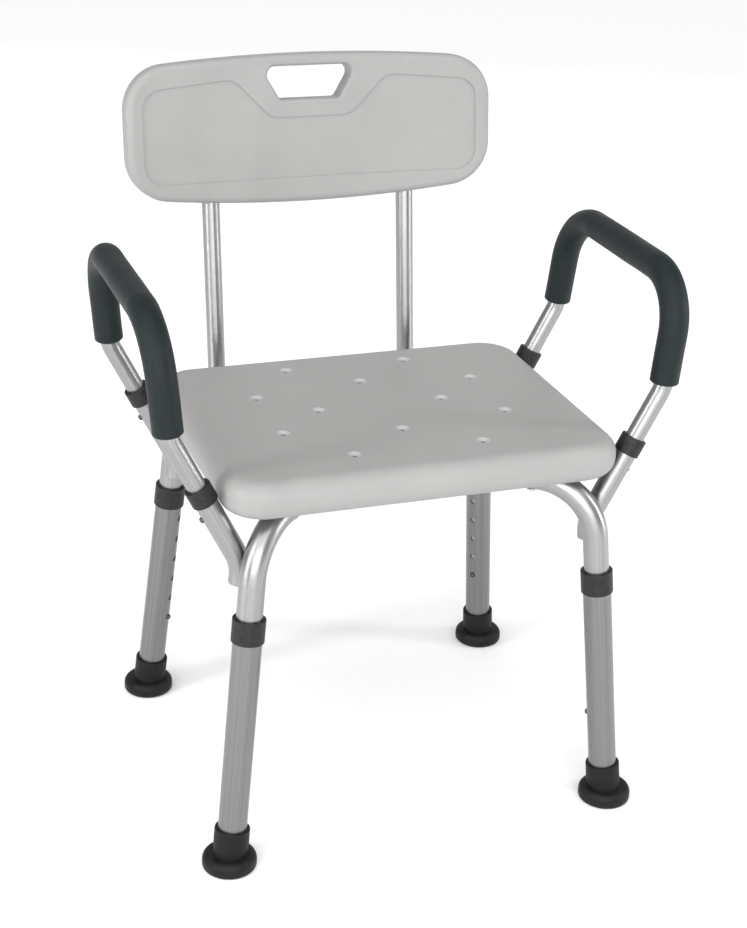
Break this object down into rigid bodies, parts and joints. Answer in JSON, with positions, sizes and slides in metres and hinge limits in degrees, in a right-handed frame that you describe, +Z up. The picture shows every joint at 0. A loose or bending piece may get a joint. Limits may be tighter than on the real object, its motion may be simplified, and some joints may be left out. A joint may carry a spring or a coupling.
{
  "type": "shower stool",
  "caption": "Height-adjustable shower chair with a moulded seat, a slotted backrest, removable padded armrests and splayed telescopic legs with rubber feet.",
  "frame": {"origin": "on the floor, under the middle of the chair's overall width and depth, with the legs at their shortest", "axes": "+Z up, -Y the way the sitter faces, +X on the sitter's left"},
  "size_m": [0.549, 0.4838, 0.6995],
  "materials": {
    "shell_plastic": "satin, fine moulded grain",
    "tube_aluminium": "satin anodised, drawn lengthwise",
    "collar_plastic": "matte moulded",
    "foot_rubber": "matte",
    "grip_foam": "matte closed-cell foam",
    "fastener_steel": "zinc plated",
    "button_steel": "satin",
    "spring_steel": "plain"
  },
  "bodies": {
    "frame": {"seat": "shell_plastic", "seat_screws": "fastener_steel", "cross_tube_a": "tube_aluminium", "cross_tube_b": "tube_aluminium", "centre_bolt": "fastener_steel", "centre_nut": "fastener_steel", "rail_strap": "tube_aluminium", "backrest_rail_left": "tube_aluminium", "backrest_rail_right": "tube_aluminium", "rail_end_plugs": "collar_plastic", "rail_saddles": "tube_aluminium", "socket_welds": "tube_aluminium", "leg_springs": "spring_steel", "arm_socket_front_left": "tube_aluminium", "arm_socket_front_right": "tube_aluminium", "arm_socket_rear_left": "tube_aluminium", "arm_socket_rear_right": "tube_aluminium", "arm_collar_front_left": "collar_plastic", "arm_collar_front_right": "collar_plastic", "arm_collar_rear_left": "collar_plastic", "arm_collar_rear_right": "collar_plastic"},
    "leg_front_left": {"lower_leg_front_left": "tube_aluminium", "leg_collar_front_left": "collar_plastic", "foot_front_left": "foot_rubber", "foot_washer_front_left": "fastener_steel"},
    "leg_front_right": {"lower_leg_front_right": "tube_aluminium", "leg_collar_front_right": "collar_plastic", "foot_front_right": "foot_rubber", "foot_washer_front_right": "fastener_steel"},
    "leg_rear_left": {"lower_leg_rear_left": "tube_aluminium", "leg_collar_rear_left": "collar_plastic", "foot_rear_left": "foot_rubber", "foot_washer_rear_left": "fastener_steel"},
    "leg_rear_right": {"lower_leg_rear_right": "tube_aluminium", "leg_collar_rear_right": "collar_plastic", "foot_rear_right": "foot_rubber", "foot_washer_rear_right": "fastener_steel"},
    "leg_button_front_left": {"leg_button_front_left": "button_steel"},
    "leg_button_front_right": {"leg_button_front_right": "button_steel"},
    "leg_button_rear_left": {"leg_button_rear_left": "button_steel"},
    "leg_button_rear_right": {"leg_button_rear_right": "button_steel"},
    "armrest_left": {"armrest_tube_left": "tube_aluminium", "armrest_grip_left": "grip_foam", "arm_springs_left": "spring_steel"},
    "armrest_right": {"armrest_tube_right": "tube_aluminium", "armrest_grip_right": "grip_foam", "arm_springs_right": "spring_steel"},
    "arm_button_front_left": {"arm_button_front_left": "button_steel"},
    "arm_button_front_right": {"arm_button_front_right": "button_steel"},
    "arm_button_rear_left": {"arm_button_rear_left": "button_steel"},
    "arm_button_rear_right": {"arm_button_rear_right": "button_steel"},
    "backrest": {"backrest_panel": "shell_plastic", "backrest_post_left": "tube_aluminium", "backrest_post_right": "tube_aluminium", "panel_screws": "fastener_steel", "backrest_springs": "spring_steel"},
    "backrest_button_left": {"backrest_button_left": "button_steel"},
    "backrest_button_right": {"backrest_button_right": "button_steel"}
  },
  "joints": [
    {"name": "leg_extend_front_left", "type": "slide", "parent": "frame", "child": "leg_front_left", "axis": [0.0896, -0.0758, -0.9931], "range_m": [0, 0.127]},
    {"name": "leg_extend_front_right", "type": "slide", "parent": "frame", "child": "leg_front_right", "axis": [-0.0896, -0.0758, -0.9931], "range_m": [0, 0.127]},
    {"name": "leg_extend_rear_left", "type": "slide", "parent": "frame", "child": "leg_rear_left", "axis": [0.0896, 0.0758, -0.9931], "range_m": [0, 0.127]},
    {"name": "leg_extend_rear_right", "type": "slide", "parent": "frame", "child": "leg_rear_right", "axis": [-0.0896, 0.0758, -0.9931], "range_m": [0, 0.127]},
    {"name": "leg_button_press_front_left", "type": "slide", "parent": "leg_front_left", "child": "leg_button_front_left", "axis": [-0.7582, 0.6414, -0.1174], "range_m": [0, 0.003], "stiffness_N_per_m": 800},
    {"name": "leg_button_press_front_right", "type": "slide", "parent": "leg_front_right", "child": "leg_button_front_right", "axis": [0.7582, 0.6414, -0.1174], "range_m": [0, 0.003], "stiffness_N_per_m": 800},
    {"name": "leg_button_press_rear_left", "type": "slide", "parent": "leg_rear_left", "child": "leg_button_rear_left", "axis": [-0.7582, -0.6414, -0.1174], "range_m": [0, 0.003], "stiffness_N_per_m": 800},
    {"name": "leg_button_press_rear_right", "type": "slide", "parent": "leg_rear_right", "child": "leg_button_rear_right", "axis": [0.7582, -0.6414, -0.1174], "range_m": [0, 0.003], "stiffness_N_per_m": 800},
    {"name": "armrest_lift_left", "type": "slide", "parent": "frame", "child": "armrest_left", "axis": [0.454, 0, 0.891], "range_m": [0, 0.075]},
    {"name": "armrest_lift_right", "type": "slide", "parent": "frame", "child": "armrest_right", "axis": [-0.454, 0, 0.891], "range_m": [0, 0.075]},
    {"name": "arm_button_press_front_left", "type": "slide", "parent": "frame", "child": "arm_button_front_left", "axis": [-0.891, 0, 0.454], "range_m": [0, 0.003], "stiffness_N_per_m": 800},
    {"name": "arm_button_press_front_right", "type": "slide", "parent": "frame", "child": "arm_button_front_right", "axis": [0.891, 0, 0.454], "range_m": [0, 0.003], "stiffness_N_per_m": 800},
    {"name": "arm_button_press_rear_left", "type": "slide", "parent": "frame", "child": "arm_button_rear_left", "axis": [-0.891, 0, 0.454], "range_m": [0, 0.003], "stiffness_N_per_m": 800},
    {"name": "arm_button_press_rear_right", "type": "slide", "parent": "frame", "child": "arm_button_rear_right", "axis": [0.891, 0, 0.454], "range_m": [0, 0.003], "stiffness_N_per_m": 800},
    {"name": "backrest_pull", "type": "slide", "parent": "frame", "child": "backrest", "axis": [0, 1, 0], "range_m": [0, 0.13]},
    {"name": "backrest_button_press_left", "type": "slide", "parent": "frame", "child": "backrest_button_left", "axis": [-1, 0, 0], "range_m": [0, 0.003], "stiffness_N_per_m": 800},
    {"name": "backrest_button_press_right", "type": "slide", "parent": "frame", "child": "backrest_button_right", "axis": [1, 0, 0], "range_m": [0, 0.003], "stiffness_N_per_m": 800}
  ]
}
